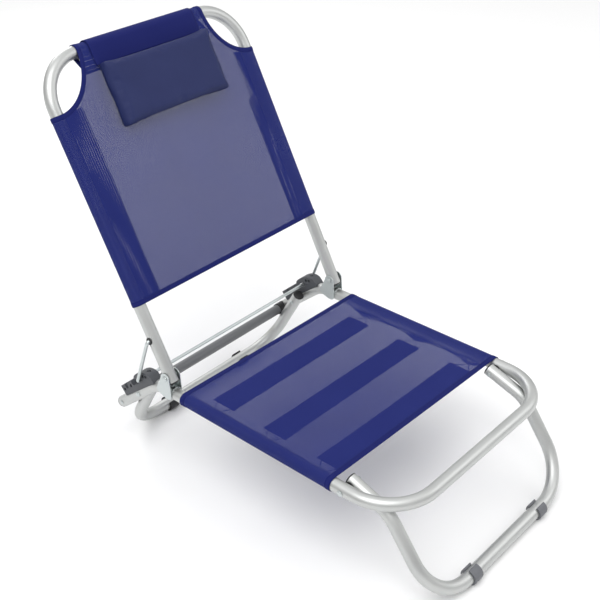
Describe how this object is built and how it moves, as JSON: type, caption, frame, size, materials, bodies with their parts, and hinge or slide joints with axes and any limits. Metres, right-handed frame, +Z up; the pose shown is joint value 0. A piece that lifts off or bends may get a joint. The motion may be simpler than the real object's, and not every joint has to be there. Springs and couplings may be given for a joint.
{
  "type": "folding beach chair",
  "caption": "Low folding beach chair with a bent aluminium tube frame, mesh sling seat and back, a wire-propped reclining backrest, folding U legs and a hanging head pillow.",
  "frame": {"origin": "on the floor under the middle of the standing chair's bounding box", "axes": "+Z up, +X to the sitter's left, -Y the way the sitter faces, so +Y runs back along the chair"},
  "size_m": [0.531, 0.944, 0.8092],
  "materials": {
    "aluminium": "satin drawn tube",
    "zinc_steel": "bright zinc plated",
    "painted_tube": "dark grey satin coat",
    "grey_plastic": "moulded, fine matte",
    "black_plastic": "moulded, matte",
    "fabric_mesh": "open plastic-coated mesh weave, slightly see-through",
    "webbing": "doubled dark mesh and binding",
    "pillow_fabric": "close-woven polyester, slight sheen"
  },
  "bodies": {
    "seat_frame": {"seat_frame_tube": "aluminium", "cross_tube": "painted_tube", "seat_sling": "fabric_mesh", "seat_strap_rear": "webbing", "seat_strap_middle": "webbing", "seat_strap_front": "webbing", "cross_tube_cap_left": "black_plastic", "cross_tube_screw_left": "zinc_steel", "notch_rack_left": "grey_plastic", "rack_screw_left_1": "zinc_steel", "rack_screw_left_2": "zinc_steel", "back_bracket_left": "zinc_steel", "bracket_rivet_left": "zinc_steel", "seat_frame_plug_left": "black_plastic", "front_leg_washer_left": "black_plastic", "rear_leg_washer_left": "black_plastic", "front_leg_rivet_left": "zinc_steel", "rear_leg_rivet_left": "zinc_steel", "back_hinge_pin_left": "zinc_steel", "cross_tube_cap_right": "black_plastic", "cross_tube_screw_right": "zinc_steel", "notch_rack_right": "grey_plastic", "rack_screw_right_1": "zinc_steel", "rack_screw_right_2": "zinc_steel", "back_bracket_right": "zinc_steel", "bracket_rivet_right": "zinc_steel", "seat_frame_plug_right": "black_plastic", "front_leg_washer_right": "black_plastic", "rear_leg_washer_right": "black_plastic", "front_leg_rivet_right": "zinc_steel", "rear_leg_rivet_right": "zinc_steel", "back_hinge_pin_right": "zinc_steel"},
    "backrest": {"backrest_tube": "aluminium", "back_sling": "fabric_mesh", "backrest_plug_left": "black_plastic", "wire_grommet_left": "black_plastic", "backrest_plug_right": "black_plastic", "wire_grommet_right": "black_plastic"},
    "prop_wire": {"prop_wire": "zinc_steel"},
    "front_leg": {"front_leg_tube": "aluminium", "front_leg_plug_left": "black_plastic", "front_foot_left": "grey_plastic", "front_leg_plug_right": "black_plastic", "front_foot_right": "grey_plastic"},
    "rear_leg": {"rear_leg_tube": "aluminium", "rear_leg_plug_left": "black_plastic", "rear_foot_left": "black_plastic", "rear_leg_plug_right": "black_plastic", "rear_foot_right": "black_plastic"},
    "pillow": {"pillow_loop": "webbing", "pillow": "pillow_fabric"}
  },
  "joints": [
    {"name": "back_hinge", "type": "hinge", "parent": "seat_frame", "child": "backrest", "pos_m": [0, 0.16396, 0.2355], "axis": [1, 0, 0], "range_deg": [0, 115]},
    {"name": "wire_swing", "type": "hinge", "parent": "backrest", "child": "prop_wire", "pos_m": [0, 0.20107, 0.30637], "axis": [1, 0, 0], "range_deg": [0, 120]},
    {"name": "front_leg_fold", "type": "hinge", "parent": "seat_frame", "child": "front_leg", "pos_m": [0, -0.27004, 0.19545], "axis": [1, 0, 0], "range_deg": [0, 128]},
    {"name": "rear_leg_fold", "type": "hinge", "parent": "seat_frame", "child": "rear_leg", "pos_m": [0, 0.25473, 0.15573], "axis": [-1, 0, 0], "range_deg": [0, 120]},
    {"name": "pillow_flip", "type": "hinge", "parent": "backrest", "child": "pillow", "pos_m": [0, 0.45604, 0.79325], "axis": [-1, 0, 0], "range_deg": [0, 150]}
  ]
}
